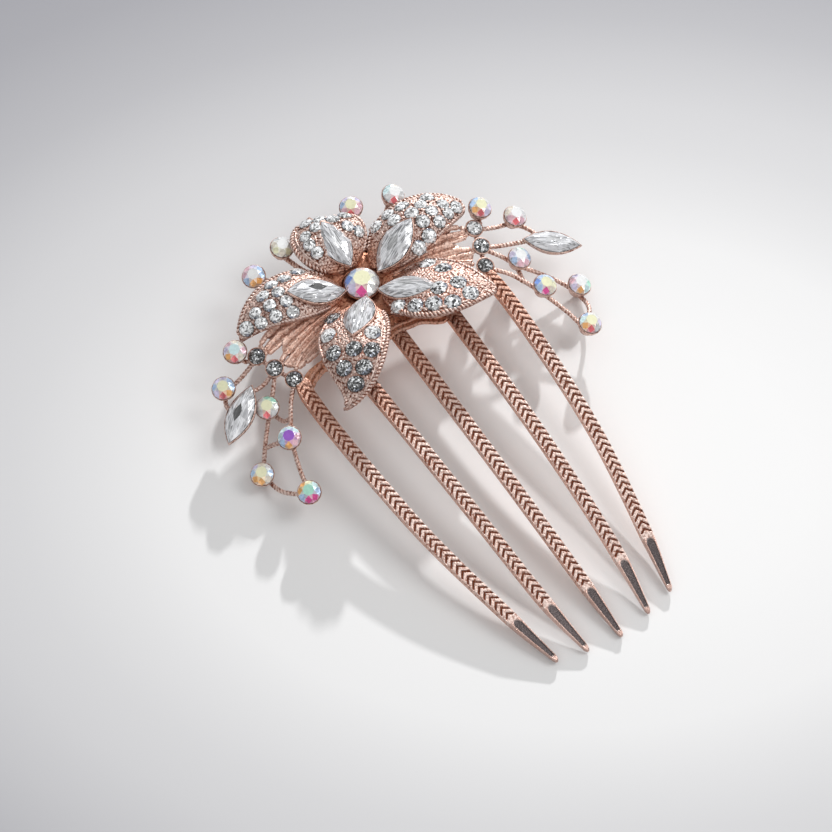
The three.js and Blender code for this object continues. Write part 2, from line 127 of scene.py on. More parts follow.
# ---- meshes --------------------------------------------------------------
class Shell:
    """Collects the closed skins of one piece. Each point carries how coppery and how darkened the metal is there."""

    def __init__(self):
        self.v, self.f, self.a, self.n = [], [], [], 0

    def _points(self, p, copper, dark):
        p = np.asarray(p, float)
        shape = p.shape[:-1]
        first, self.n = self.n, self.n + int(np.prod(shape))
        self.v.append(p.reshape(-1, 3))
        self.a.append(np.stack([np.broadcast_to(x, shape).reshape(-1) for x in (copper, dark)], 1))
        return first

    def _faces(self, quads, tris, parts):
        """Adds the faces of one closed skin, made from the last parts sets of points, turned so that they look outwards."""
        v, start = np.vstack(self.v[-parts:]), self.n - sum(len(x) for x in self.v[-parts:])
        total = 0.0
        for f in (quads[:, :3], quads[:, [0, 2, 3]], tris):
            x, y, z = (v[f[:, k] - start] for k in range(3))
            total += np.einsum("ij,ij->", x, np.cross(y, z))
        for f in (quads, tris):
            self.f.append(f if total > 0 else f[:, ::-1])

    def tube(self, rings, copper=0.0, dark=0.0):
        """Rings of equal count joined into a closed skin with a fan at each end."""
        rings = np.asarray(rings, float)
        n, m, _ = rings.shape
        copper, dark = (np.broadcast_to(x, (n, m)) for x in (copper, dark))
        k = self._points(rings, copper, dark)
        grid = k + np.arange(n * m).reshape(n, m)
        turn = np.roll(grid, -1, 1)
        quads = np.stack([grid[:-1], turn[:-1], turn[1:], grid[1:]], -1).reshape(-1, 4)
        tris = []
        for i, order in ((0, (0, 2, 1)), (n - 1, (0, 1, 2))):
            c = self._points(rings[i].mean(0)[None], copper[i].mean(), dark[i].mean())
            tris.append(np.stack([np.full(m, c), grid[i], turn[i]], -1)[:, order])
        self._faces(quads, np.vstack(tris), 3)

    def sheet(self, top, low, copper=0.0, dark=0.0, keep=None):
        """A skin with thickness between two grids of points. keep says which cells of the grid are there."""
        top, low = np.asarray(top, float), np.asarray(low, float)
        n, m, _ = top.shape
        keep = np.ones((n - 1, m - 1), bool) if keep is None else keep
        k = self._points(top, copper, dark)
        # the underside is painted at least 0.35 dark: painted shade under the sheet
        under = self._points(low, copper, np.maximum(dark, 0.35)) - k
        grid = k + np.arange(n * m).reshape(n, m)
        corner = [grid[:-1, :-1], grid[1:, :-1], grid[1:, 1:], grid[:-1, 1:]]
        cells = np.stack([c[keep] for c in corner], -1)
        quads = [cells, cells[:, ::-1] + under]
        wide = np.pad(keep, 1)
        for (i, j), (di, dj) in zip(((0, 1), (1, 2), (2, 3), (3, 0)), ((0, -1), (1, 0), (0, 1), (-1, 0))):
            edge = keep & ~wide[1 + di : n + di, 1 + dj : m + dj]
            p, q = corner[i][edge], corner[j][edge]
            quads.append(np.stack([q, p, p + under, q + under], -1))
        self._faces(np.vstack(quads), np.zeros((0, 3), int), 2)

    def turned(self, profile, at, q, segments=40, copper=0.0, dark=0.0, wobble=0.0):
        """A profile of (radius, height) points turned about a leaning axis; it starts and ends on the axis."""
        profile = np.array(profile, float)
        inner = profile[1:-1] if profile[0][0] < 1e-6 else profile
        a = np.linspace(0, 2 * math.pi, segments, endpoint=False)
        ring = np.stack([np.cos(a), np.sin(a)], -1)
        p = np.zeros((len(inner), segments, 3))
        p[..., :2] = inner[:, None, :1] * ring[None]
        p[..., 2] = inner[:, None, 1]
        if wobble:
            p[..., :2] *= 1 + wobble * rough_field(p + at, 0.5, 1.3)[..., None]
        self.tube(p @ q.T + at, copper, dark)

    def rope(self, points, radius, pitch=1.75, strands=3, depth=0.3, copper=0.3, dark=0.0, hint=UP, step=0.13, strand_groove_dark=0.75):
        """A twisted wire along a curve through the points."""
        _, length = spline(points, 8)
        count = max(8, int(length / step))
        c, _ = spline(points, count)
        n, b = frames(c, hint)
        s = np.linspace(0, length, count)[:, None]
        around = np.linspace(0, 2 * math.pi, 18, endpoint=False)[None]
        ridge = np.abs(np.cos(strands / 2 * (around - 2 * math.pi * s / pitch))) if pitch else np.ones((count, 18))
        r = radius * (1 - depth + depth * ridge) * (1 + 0.07 * rough_field(np.stack(
            [s + 0 * around, radius * np.cos(around) + 0 * s, radius * np.sin(around) + 0 * s], -1), 0.22, radius))
        ends = np.minimum(1, np.sqrt(np.minimum(s, length - s) / (radius * 0.8)) * 0.85 + 0.15)
        r = r * ends
        rings = c[:, None] + n[:, None] * (r * np.cos(around))[..., None] + b[:, None] * (r * np.sin(around))[..., None]
        # the grooves between the strands are made darker
        self.tube(rings, copper, np.clip(dark + strand_groove_dark * (1 - ridge) ** 2 * (depth > 0), 0, 1))

    def bead(self, at, radius, q=None, copper=0.2, dark=0.0, flat=0.75):
        """A small solder ball, a little flattened and never quite round."""
        q = np.eye(3) if q is None else q
        z = np.linspace(-1, 1, 7)[1:-1]
        a = np.linspace(0, 2 * math.pi, 10, endpoint=False)
        p = np.stack([np.sqrt(1 - z**2)[:, None] * np.cos(a), np.sqrt(1 - z**2)[:, None] * np.sin(a),
                      z[:, None] * flat + 0 * a], -1) * radius
        p *= 1 + 0.08 * rough_field(p + at, radius * 1.2, 2.0)[..., None]
        self.tube(p @ q.T + at, copper, dark)


def make_piece(name, v, faces, material, nodes=(), sharp=None):
    mesh = bpy.data.meshes.new(name)
    used = np.unique(np.concatenate([f.ravel() for f in faces]))
    where = np.full(len(v), -1)
    where[used] = np.arange(len(used))
    mesh.from_pydata(((v[used] + FLOWER) * MM).tolist(), [], [f for g in faces for f in where[g].tolist()])
    mesh.polygons.foreach_set("use_smooth", [sharp is not None] * len(mesh.polygons))
    if sharp is not None:
        mesh.set_sharp_from_angle(angle=math.radians(sharp))
    mesh.materials.append(material)
    ob = bpy.data.objects.new(name, mesh)
    bpy.context.scene.collection.objects.link(ob)
    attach(ob, "root")
    if nodes:
        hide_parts(*nodes)
    return ob, used


def metal_piece(shell, name, nodes=(), material=None, sharp=42):
    v = np.vstack(shell.v)
    ob, used = make_piece(name, v, shell.f, material or METAL, nodes, sharp)
    a = np.vstack(shell.a)[used]
    for k, key in enumerate(("copper", "dark")):
        layer = ob.data.attributes.new(key, "FLOAT", "POINT")
        layer.data.foreach_set("value", a[:, k].astype(np.float32))
    return ob


class Gem:
    """Flat facets of cut stones. Each facet has a tint, and each point its place in its own stone."""

    def __init__(self):
        self.v, self.f, self.tint, self.loc, self.n = [], [], [], [], 0

    def add(self, points, faces, tints, at, q, offset):
        p = np.asarray(points, float)
        self.v.append(p @ q.T + at)
        self.loc.append(p + offset)
        self.f += [tuple(i + self.n for i in f) for f in faces]
        self.tint += list(tints)
        self.n += len(p)


def gem_piece(gem, name, material, nodes=()):
    ob, used = make_piece(name, np.vstack(gem.v), [np.array([f]) for f in gem.f], material, nodes)
    tint = ob.data.attributes.new("tint", "FLOAT_COLOR", "CORNER")
    flat = []
    for f, t in zip(gem.f, gem.tint):
        flat += [*t[:3], t[3] if len(t) > 3 else 1.0] * len(f)
    tint.data.foreach_set("color", np.array(flat, np.float32))
    loc = ob.data.attributes.new("stone_point", "FLOAT_VECTOR", "POINT")
    loc.data.foreach_set("vector", np.vstack(gem.loc)[used].astype(np.float32).ravel())
    return ob


# ---- materials -----------------------------------------------------------
def shader(name):
    m = bpy.data.materials.new(name)
    m.use_nodes = True
    nodes, links = m.node_tree.nodes, m.node_tree.links
    nodes.clear()
    out, bsdf = nodes.new("ShaderNodeOutputMaterial"), nodes.new("ShaderNodeBsdfPrincipled")
    links.new(bsdf.outputs["BSDF"], out.inputs["Surface"])
    return m, nodes, links, bsdf


def math_node(nodes, links, op, *values, clamp=False):
    n = nodes.new("ShaderNodeMath")
    n.operation, n.use_clamp = op, clamp
    for i, v in enumerate(values):
        if isinstance(v, (int, float)):
            n.inputs[i].default_value = v
        else:
            links.new(v, n.inputs[i])
    return n.outputs[0]


def mix_node(nodes, links, factor, a, b, kind="MIX"):
    n = nodes.new("ShaderNodeMix")
    n.data_type, n.blend_type = "RGBA", kind
    for key, v in ((0, factor), (6, a), (7, b)):
        if isinstance(v, (int, float)):
            n.inputs[key].default_value = v
        elif isinstance(v, tuple):
            n.inputs[key].default_value = (*v, 1)
        else:
            links.new(v, n.inputs[key])
    return n.outputs[2]


def attribute(nodes, name, output="Fac"):
    n = nodes.new("ShaderNodeAttribute")
    n.attribute_name = name
    return n.outputs[output]


def noise(nodes, links, vector, scale, detail=3.0, rough=0.55):
    n = nodes.new("ShaderNodeTexNoise")
    n.inputs["Scale"].default_value = scale
    n.inputs["Detail"].default_value = detail
    n.inputs["Roughness"].default_value = rough
    links.new(vector, n.inputs["Vector"])
    return n.outputs["Fac"]


def plated_metal(name, pale, copper, deep, rough, grain):
    """Antiqued rose-gold plate: pale grains with brown between them, coppery where the copper attribute says, which is
    mostly painted shade, with random tone over it. Painted shade darkens it where the AO node finds the surface closed
    in, standing also for the antique darkening of the hollows.
    """
    m, nodes, links, bsdf = shader(name)
    at = nodes.new("ShaderNodeTexCoord").outputs["Object"]
    wide, fine = noise(nodes, links, at, 700, 3), noise(nodes, links, at, 3600, 4, 0.7)
    cells = nodes.new("ShaderNodeTexVoronoi")
    cells.inputs["Scale"].default_value = 2300
    links.new(at, cells.inputs["Vector"])
    hollow = math_node(nodes, links, "MULTIPLY", cells.outputs["Distance"], grain)
    # coppery: the copper attribute, mostly painted shade, with random tone from the wide noise
    copper_tone_and_shade = math_node(nodes, links, "ADD", attribute(nodes, "copper"),
                           math_node(nodes, links, "MULTIPLY", math_node(nodes, links, "SUBTRACT", wide, 0.5), 0.7),
                           clamp=True)
    # painted shade: ambient occlusion darkens the colour in creases and hollows
    ao = nodes.new("ShaderNodeAmbientOcclusion")
    ao.samples = 6
    ao.inputs["Distance"].default_value = 1.3 * MM
    closed = math_node(nodes, links, "POWER", math_node(nodes, links, "SUBTRACT", 1.0, ao.outputs["AO"]), 1.7)
    speck = math_node(nodes, links, "MULTIPLY_ADD", math_node(nodes, links, "SUBTRACT", 0.42, fine), 1.6,
                      math_node(nodes, links, "MULTIPLY", math_node(nodes, links, "SUBTRACT", hollow, 0.42), 1.9))
    dark = math_node(nodes, links, "ADD", attribute(nodes, "dark"), math_node(nodes, links, "MULTIPLY", closed, 0.62))
    dark = math_node(nodes, links, "ADD", dark, math_node(nodes, links, "MAXIMUM", speck, 0.0), clamp=True)
    base = mix_node(nodes, links, copper_tone_and_shade, pale, copper)
    links.new(mix_node(nodes, links, dark, base, deep), bsdf.inputs["Base Color"])
    bsdf.inputs["Metallic"].default_value = 0.86
    links.new(math_node(nodes, links, "MULTIPLY_ADD", fine, 0.3, rough - 0.1), bsdf.inputs["Roughness"])
    b = nodes.new("ShaderNodeBump")
    b.inputs["Strength"].default_value = 0.6
    b.inputs["Distance"].default_value = 0.12 * MM
    links.new(math_node(nodes, links, "SUBTRACT", fine, hollow), b.inputs["Height"])
    links.new(b.outputs["Normal"], bsdf.inputs["Normal"])
    return m


def cut_glass(name, cells, dim, spread, metallic, stretch=(1, 1, 1)):
    """Foil-backed faceted glass: a tint on each facet, broken into the small mirror cells of the pavilion below."""
    m, nodes, links, bsdf = shader(name)
    place = attribute(nodes, "stone_point", "Vector")
    scale = nodes.new("ShaderNodeVectorMath")
    scale.operation = "MULTIPLY"
    links.new(place, scale.inputs[0])
    scale.inputs[1].default_value = stretch
    v = nodes.new("ShaderNodeTexVoronoi")
    v.inputs["Scale"].default_value = cells
    links.new(scale.outputs[0], v.inputs["Vector"])
    split = nodes.new("ShaderNodeSeparateColor")
    links.new(v.outputs["Color"], split.inputs[0])
    ramp = nodes.new("ShaderNodeValToRGB")
    ramp.color_ramp.interpolation = "CONSTANT"
    while len(ramp.color_ramp.elements) < len(dim):
        ramp.color_ramp.elements.new(0.5)
    for e, (x, g) in zip(ramp.color_ramp.elements, dim):
        e.position, e.color = x, (*g, 1)
    links.new(split.outputs[0], ramp.inputs[0])
    broken = attribute(nodes, "tint", "Alpha")
    links.new(mix_node(nodes, links, broken, attribute(nodes, "tint", "Color"), ramp.outputs[0], "MULTIPLY"),
              bsdf.inputs["Base Color"])
    bsdf.inputs["Metallic"].default_value = metallic
    bsdf.inputs["Roughness"].default_value = 0.12
    bsdf.inputs["Coat Weight"].default_value = 1.0
    bsdf.inputs["Coat Roughness"].default_value = 0.02
    bsdf.inputs["Coat IOR"].default_value = 1.6
    tilt = nodes.new("ShaderNodeVectorMath")
    tilt.operation = "MULTIPLY_ADD"
    links.new(v.outputs["Color"], tilt.inputs[0])
    tilt.inputs[1].default_value = (spread,) * 3
    tilt.inputs[2].default_value = (-spread / 2,) * 3
    less = nodes.new("ShaderNodeVectorMath")
    less.operation = "SCALE"
    links.new(tilt.outputs[0], less.inputs[0])
    links.new(broken, less.inputs["Scale"])
    geometry = nodes.new("ShaderNodeNewGeometry")
    add = nodes.new("ShaderNodeVectorMath")
    links.new(geometry.outputs["Normal"], add.inputs[0])
    links.new(less.outputs[0], add.inputs[1])
    norm = nodes.new("ShaderNodeVectorMath")
    norm.operation = "NORMALIZE"
    links.new(add.outputs[0], norm.inputs[0])
    links.new(norm.outputs[0], bsdf.inputs["Normal"])
    return m


def grey(*steps):
    return [(x, (g, g * 1.01, g * 1.03)) for x, g in steps]


PALE, COPPER, DEEP = (0.82, 0.67, 0.61), (0.86, 0.43, 0.27), (0.25, 0.08, 0.042)
METAL = plated_metal("rose_gold_antique", PALE, COPPER, DEEP, 0.45, 1.0)
# a lit copy of the plate, paler and more coppery: painted light on the leaf, which lies in the petals' shade
LIT_LEAF_METAL = plated_metal("rose_gold_leaf", (0.97, 0.82, 0.75), (0.98, 0.55, 0.38), DEEP, 0.45, 0.8)
TIP_METAL = plated_metal("rose_gold_tip", (0.80, 0.66, 0.62), (0.55, 0.32, 0.25), (0.045, 0.038, 0.042), 0.22, 0.3)
AURORA = cut_glass("aurora_crystal", 2.4, grey((0, 0.55), (0.2, 0.8), (0.45, 1.0), (0.8, 1.15)), 0.45, 0.2)
CLEAR = cut_glass("clear_crystal", 3.1,
                  grey((0, 0.02), (0.16, 0.12), (0.30, 0.5), (0.44, 0.9), (0.62, 1.2)), 0.9, 0.3)
# a darker copy of the clear crystal for stones painted in shade
SHADED_CRYSTAL = cut_glass("clear_crystal_shaded", 3.6,
                  grey((0, 0.02), (0.36, 0.09), (0.54, 0.32), (0.68, 0.75), (0.82, 1.25)), 0.9, 0.3)
STREAK = cut_glass("clear_crystal_long", 3.0,
                   grey((0, 0.36), (0.12, 0.56), (0.28, 0.72), (0.48, 0.86), (0.70, 1.0)), 0.45, 0.25, (0.22, 1.8, 1))

# ---- comb casting: five grooved tines on an arched rail --------------------
TINE_W, TINE_T, TIP_W, POINT, TIP_Z, SLOPE = 3.0, 1.9, 0.9, 11.5, 0.55, 0.112
TINES = [(1.0, [[0, -10.5], [0, -46], [0, -72.5], [0, -84.2]]),
         (2.4, [[10.7, -11], [9.6, -46], [8.2, -71.8], [6.7, -83.2]]),
         (0.9, [[20.1, -10.2], [20.9, -12.6], [19.3, -46], [15, -70.8], [12.5, -81.8]])]
CHEVRON, FIRST_CHEVRON = 1.4, 1.2  # groove pitch, and where the grooves start along a tine


def tine(shell, bow, points, side):
    pts = [[x * side, y] for x, y in points]
    _, length = spline(pts, 8)
    count = int(length / 0.14)
    c, _ = spline(pts, count)
    d = unit(np.gradient(c, axis=0))
    s = np.linspace(0, length, count)[:, None]
    f = s / length
    point = np.clip((s - length + POINT) / POINT, 0, 1)
    w = ((TINE_W - 0.6 * f) * (1 - point**1.25) + TIP_W * point**1.25) / 2
    end = np.sqrt(np.clip((length - s) / 0.7, 0, 1))
    w = w * (0.35 + 0.65 * end) * np.sqrt(np.clip(s / 1.3 + 0.15, 0, 1))
    h = (TINE_T * (1 - point) + 1.1 * point) / 2 * (0.5 + 0.5 * end)
    u = np.clip((c[:, 1] + 83) / 72, 0, 1)
    z = (TIP_Z + SLOPE * 72 * u + bow * np.sin(math.pi * u))[:, None]
    # one ring: the top from edge to edge, then the round side, the flat underside and the other side
    top = np.linspace(-0.93, 0.93, 25)
    v = np.r_[top, 1.0, 1.0, 0.97, 0.8, np.linspace(0.6, -0.6, 5), -0.8, -0.97, -1.0, -1.0][None]
    b = np.r_[0 * top, 0.45, -0.3, -0.66, -0.92, [-1.0] * 5, -0.92, -0.66, -0.3, 0.45][None]
    is_top = np.r_[0 * top + 1, [0.0] * 13][None]
    edge = 0.84 + 0.16 * np.sqrt(np.clip(1 - ((np.abs(v) - 0.74) / 0.26).clip(0, 1) ** 2, 0, 1))
    across = np.abs(v) * w
    # V-shaped grooves with their point towards the head
    run = s - FIRST_CHEVRON - 0.95 * across
    phase = run / CHEVRON
    groove = smooth((np.cos(2 * math.pi * phase) - 0.25) / 0.55)
    inside = smooth((0.88 - np.abs(v)) / 0.07)
    grooved = smooth(run / 0.5 + 0.5) * smooth((length - POINT + 0.1 - s) / 0.4)
    groove = groove * inside * grooved * is_top
    # the point: a flat facet sunk between two thin rims, its upper end rounded
    arch = s - length + POINT - 0.8 - 1.1 * (np.abs(v) / 0.72) ** 2.5
    sunk = smooth((0.72 - np.abs(v)) / 0.10) * smooth(arch / 0.4) * smooth((length - s - 0.8) / 0.6)
    sunk = sunk * is_top
    grain = 0.02 * rough_field(np.stack([v * w + 0 * s, s + 0 * v, 0 * v * s], -1), 0.16, 4.0)
    height = np.where(is_top > 0, edge - (0.30 * groove + 0.16 * sunk + grain) / np.maximum(h, 0.3), b)
    n = np.stack([-d[:, 1], d[:, 0]], -1)
    ring = np.zeros((count, v.shape[1], 3))
    ring[..., 0] = c[:, :1] + n[:, :1] * v * w
    ring[..., 1] = c[:, 1:] + n[:, 1:] * v * w
    ring[..., 2] = z + h * height
    # painted shade: the metal is made coppery and darker towards the root by the head and on the sides and underside;
    # the grooves are darkened as well
    root = smooth((26 - s) / 24)
    copper = 0.06 + 0.5 * root + 0.30 * (1 - is_top) - 0.4 * (point > 0)
    dark = (0.86 - 0.34 * root) * groove + 0.08 * (1 - is_top) + (0.08 + 0.20 * root) * is_top
    return ring, copper, dark, s, length, sunk


def rail_edge(x):
    pts = [(0, -12), (4, -12.6), (8.5, -15), (12, -13), (15.3, -10.6), (18, -11.4), (20.5, -13.4), (22.2, -13)]
    for (a, ya), (b, yb) in zip(pts, pts[1:]):
        if x <= b + 1e-9:
            return ya + (yb - ya) * float(smooth((x - a) / (b - a)))
    return pts[-1][1]


def comb():
    shell, tips = Shell(), Shell()
    for bow, points in TINES:
        for side in ((1,) if points[0][0] == 0 else (-1, 1)):
            ring, copper, dark, s, length, sunk = tine(shell, bow, points, side)
            cut = int(np.searchsorted(s[:, 0], length - POINT + 0.9))
            shell.tube(ring[: cut + 1], copper[: cut + 1], dark[: cut + 1])
            last = slice(cut, None)
            tips.tube(ring[last], (0.7 * (1 - sunk))[last], (0.02 + 0.88 * sunk)[last])
    # the rail, scalloped between the tine roots, with a double lip along that edge
    x = np.linspace(-20.7, 20.7, 150)
    low = np.array([rail_edge(abs(a)) for a in x])
    u = x / 22.2
    high = -8.1 - 0.8 * u * u
    full = np.sqrt(np.clip(1 - (np.clip(np.abs(x) - 17.0, 0, 4) / 3.72) ** 2, 0, 1))
    low, high = -11.2 + (low + 11.2) * full, -11.2 + (high + 11.2) * full
    z = 8.9 - 1.7 * u * u
    v = np.linspace(0, 1, 16)[None]
    y = low[:, None] + (high - low)[:, None] * v
    t = 0.85 * np.sqrt(np.clip(1 - (2 * v - 1) ** 8, 0, 1)) - 0.16 * smooth(np.sin(math.pi * v) * 1.6)
    top = np.stack([x[:, None] + 0 * v, y, z[:, None] + t], -1)
    top[..., 2] += 0.09 * rough_field(top, 0.35, 2.2) + 0.05 * rough_field(top, 0.15, 5.2)
    under = np.stack([x[:, None] + 0 * v, y, z[:, None] - 0.85 * np.sqrt(np.clip(1 - (2 * v - 1) ** 8, 0, 1))], -1)
    # painted shade: the rail and its lips are coppery, and the rail a little darkened, under the flower
    shell.sheet(top, under - np.array([0, 0, 0.02]), 0.95, 0.18)
    for inset, lift in ((0.1, 0.45), (1.15, 0.75)):
        shell.rope(np.stack([x, low + inset, z + lift], -1)[::5], 0.36, pitch=0, depth=0, copper=0.7, dark=0.0, step=0.3)
    metal_piece(shell, "comb_casting_grooved", ["comb_casting"])
    metal_piece(tips, "comb_points", material=TIP_METAL)


comb()


# ---- stones --------------------------------------------------------------
LETTERS = dict(W=(0.94, 0.95, 0.95), Y=(0.93, 0.92, 0.62), C=(0.70, 0.91, 0.93), B=(0.50, 0.68, 0.95),
               D=(0.22, 0.38, 0.88), L=(0.74, 0.68, 0.90), P=(0.90, 0.56, 0.64), M=(0.80, 0.06, 0.32),
               R=(0.82, 0.14, 0.16), O=(0.92, 0.46, 0.15), G=(0.45, 0.85, 0.68), V=(0.36, 0.10, 0.66),
               N=(0.72, 0.73, 0.73), K=(0.84, 0.76, 0.64), S=(0.30, 0.33, 0.40))
SPIN = math.radians(234.7)  # direction of the first facet, down the picture
CUT = dict(table=0.50, mid=0.84, table_z=0.40, mid_z=0.24, shift=0.12)


def lean(x, y):
    """Rotation that tips +Z towards (x, y, 1)."""
    n = unit([x, y, 1.0])
    return np.array(Vector((0, 0, 1)).rotation_difference(Vector(n)).to_matrix())


def round_stone(gem, r, at, q, letters, seed, broken=(0.12, 0.45, 0.8), edge=(0.6, 0.32)):
    """A round brilliant: a table, eight kites with stars between them, and a ring of small facets at the girdle.

    broken says how much the cells show in the table, in the kites and in the ring, and edge how the ring is toned.
    """
    a = SPIN + np.arange(16) * math.pi / 8
    rings = [(CUT["table"], CUT["table_z"], 0, 2), (CUT["mid"], CUT["mid_z"], 1, 2), (1.0, 0.05, 0, 1),
             (1.0, -0.05, 0, 1), (0.12, -0.66, 0, 1)]
    p, first = [], []
    for k, (radius, z, start, step) in enumerate(rings):
        off = -r * CUT["shift"] * (1.0, 0.5, 0, 0, 0)[k]
        first.append(len(p))
        p += [(radius * r * math.cos(t) + off * math.cos(SPIN), radius * r * math.sin(t) + off * math.sin(SPIN), z * r)
              for t in a[start::step]]
    off = -r * CUT["shift"]
    p += [(off * math.cos(SPIN), off * math.sin(SPIN), CUT["table_z"] * r), (0, 0, -0.66 * r)]
    t0, m0, g0, h0, c0 = first
    faces, tints = [], []
    table, ring = LETTERS[letters[0]], [np.array(LETTERS[c]) for c in letters[1:]]
    rng = np.random.RandomState(seed)

    def tone(c, k, cells):
        return (*np.clip(np.asarray(c) * (1 + k * (rng.rand() * 2 - 1)), 0, 1.0), cells)

    for k in range(8):
        n = (k + 1) % 8
        faces.append((len(p) - 2, t0 + k, t0 + n))
        tints.append((*table, broken[0]))
        faces.append((t0 + k, m0 + k, t0 + n))
        tints.append(tone((ring[k] + ring[n]) / 2 * 0.6 + 0.4 * np.array(table), 0.12, broken[1]))
        faces.append((t0 + k, m0 + (k - 1) % 8, g0 + 2 * k, m0 + k))
        tints.append(tone(ring[k], 0.10, broken[1]))
        for j, e in ((2 * k, ring[k]), (2 * k + 1, ring[n])):
            faces.append((m0 + k, g0 + j, g0 + (j + 1) % 16))
            tints.append(tone(edge[0] * e + edge[1], 0.22, broken[2]))
    for j in range(16):
        n = (j + 1) % 16
        faces += [(g0 + j, h0 + j, h0 + n, g0 + n), (h0 + j, c0 + j, c0 + n, h0 + n), (c0 + j, len(p) - 1, c0 + n)]
        tints += [LETTERS["N"]] * 3
    gem.add(p, faces, tints, at, q, rng.rand(3) * 40)


def lens_ring(L, W, z, n=12, power=1.0):
    k = np.arange(2 * n)
    u = -np.cos(np.pi * np.where(k < n, k, 2 * n - k) / n)
    y = (1 - u * u) ** power * W / 2 * np.where(k < n, 1, -1)
    return np.stack([u * L / 2, y, np.full(2 * n, z)], -1)


def navette(gem, L, W, crown, under, at, q, core, seed):
    """A pointed oval stone: a narrow table, a belt of long facets broken in two rows, and a shallow back."""
    n = 7
    rings = [lens_ring(L * 0.34, W * 0.30, crown, n, 1.7), lens_ring(L * 0.72, W * 0.68, crown * 0.78, n),
             lens_ring(L, W, 0.12, n), lens_ring(L, W, -0.1, n), lens_ring(L * 0.5, W * 0.3, -under, n)]
    p = [tuple(x) for ring in rings for x in ring]
    m = 2 * n
    p += [(0, 0, crown), (0, 0, -under)]
    faces, tints = [], []
    rng = np.random.RandomState(seed)
    for k in range(m):
        j = (k + 1) % m
        faces.append((len(p) - 2, k, j))
        tints.append(np.array(core) * (0.8 + 0.4 * rng.rand()))
        for i in (0, 1):
            a, b = i * m, (i + 1) * m
            c = 0.74 + 0.24 * rng.rand()
            if (k + i) % 2:
                faces += [(a + k, b + k, a + j), (b + k, b + j, a + j)]
            else:
                faces += [(a + k, b + k, b + j), (a + k, b + j, a + j)]
            tints += [(c, c, c * 1.01, 1.0), (c * 0.92, c * 0.92, c * 0.94, 1.0)]
        faces += [(2 * m + k, 3 * m + k, 3 * m + j, 2 * m + j), (3 * m + k, 4 * m + k, 4 * m + j, 3 * m + j),
                  (4 * m + k, len(p) - 1, 4 * m + j)]
        tints += [LETTERS["N"]] * 3
    gem.add(p, faces, tints, at, q, rng.rand(3) * 40)


def clear_round(gem, r, at, q, dark, seed):
    """A small clear stone: painted reflection makes it bright towards the tines and speckled towards the head; dark
    gives the darker set, painted shade.
    """
    letters, broken = ("NWNNSSNNN", (1.0, 1.0, 0.9)) if dark else ("WWWWNSNWW", (0.8, 0.75, 0.9))
    round_stone(gem, r, at, q, letters, seed, broken, (0.5, 0.0))


# ---- petals --------------------------------------------------------------
LONG, SHORT = (11.4, 5.8, 1.2, 0.9), (9.8, 5.2, 1.1, 0.9)
PETALS = {
    "top": dict(p=[[0, 4.2, 10.8], [0, 7.5, 14.8], [0, 12.5, 16.8], [0, 17.6, 11.8]], w=5.0, crown=2.0, tilt=0.0,
                skew=0.0, rim=1, stone=SHORT, seat=[[0, 3.8, 12.3], [0, 13.2, 14.9]]),
    "side": dict(p=[[4.1, 1.1, 10.6], [9, 3.6, 15.8], [17.5, 6.4, 17], [25.2, 2.9, 11]], w=4.4, crown=2.2, tilt=-0.5,
                 skew=0.0, rim=1, stone=LONG, seat=[[3.8, 0.1, 11.7], [13.7, 3.7, 15.8]]),
    "low": dict(p=[[2.9, -3.3, 10.8], [6.8, -8, 16.2], [13, -14.1, 18], [18.1, -19.2, 14]], w=5.0, crown=1.5,
                tilt=-1.8, skew=0.3, rim=-1, stone=LONG, seat=[[1.5, -3.6, 12.2], [9.2, -11.1, 16.2]]),
}
OUTLINE = {  # what makes each petal its own: a square end, a slanted end, a wide upper edge, a sideways hook, a bent tip
    "top": dict(blunt=5.4, square=0.35, slant=1.2, wide=0.0, hook=0, bend=(0, -1.3, 0)),
    "side_left": dict(blunt=0.9, square=0.5, slant=0.0, wide=0.0, hook=0, bend=(0, 0, 0)),
    "side_right": dict(blunt=2.6, square=0.5, slant=0.0, wide=0.0, hook=0, bend=(0, 0, 0)),
    "low_left": dict(blunt=0.4, square=0.5, slant=0.0, wide=0.0, hook=32, bend=(0, -2.5, -1.2)),
    "low_right": dict(blunt=0.4, square=0.5, slant=0.0, wide=0.34, hook=0, bend=(0.7, 2.0, 0)),
}
HOOK_AT = np.array([0.83, -0.55, 0.0])  # the side that a hooked petal swings to before its tip comes back
PAVE = {  # stones along (0 root, 1 tip) and across (-1 to 1) each petal, with the odd ones on each side
    "top": [(.77, .34), (.59, .34), (.73, .95), (.58, .80), (.42, .68), (.62, -.30), (.54, -.66), (.41, -.86)],
    "side_left": [(.35, .90), (.47, .65), (.57, .14), (.68, .45), (.55, -.36), (.69, -.20), (.35, -.67), (.81, .03),
                  (.54, -.80), (.70, -.77), (.83, -.77), (.93, -.22)],
    "side_right": [(.33, .93), (.45, .86), (.56, .75), (.56, .16), (.67, .36), (.71, -.20), (.58, -.39), (.83, .05),
                   (.93, -.5), (.72, -.86), (.84, -.8), (.54, -.92), (.38, -.92)],
    "low_left": [(.22, .86), (.42, .66), (.42, -.66), (.59, .51), (.574, -.21), (.578, -.69), (.72, .27), (.72, -.53),
                 (.84, -.22)],
    "low_right": [(.369, .82), (.522, .58), (.669, -.02), (.516, -.26), (.777, -.57), (.643, -.77), (.493, -.73), (.349, -.78),
                  (.203, -.86)],
}


def petal_width(d, s, blunt):
    return 4.55 * d["w"] * s * (1 - s) ** 1.2 + 1.2 * (1 - s) + 0.3 + 2 * blunt * s**3 * (1 - s) ** d["square"]


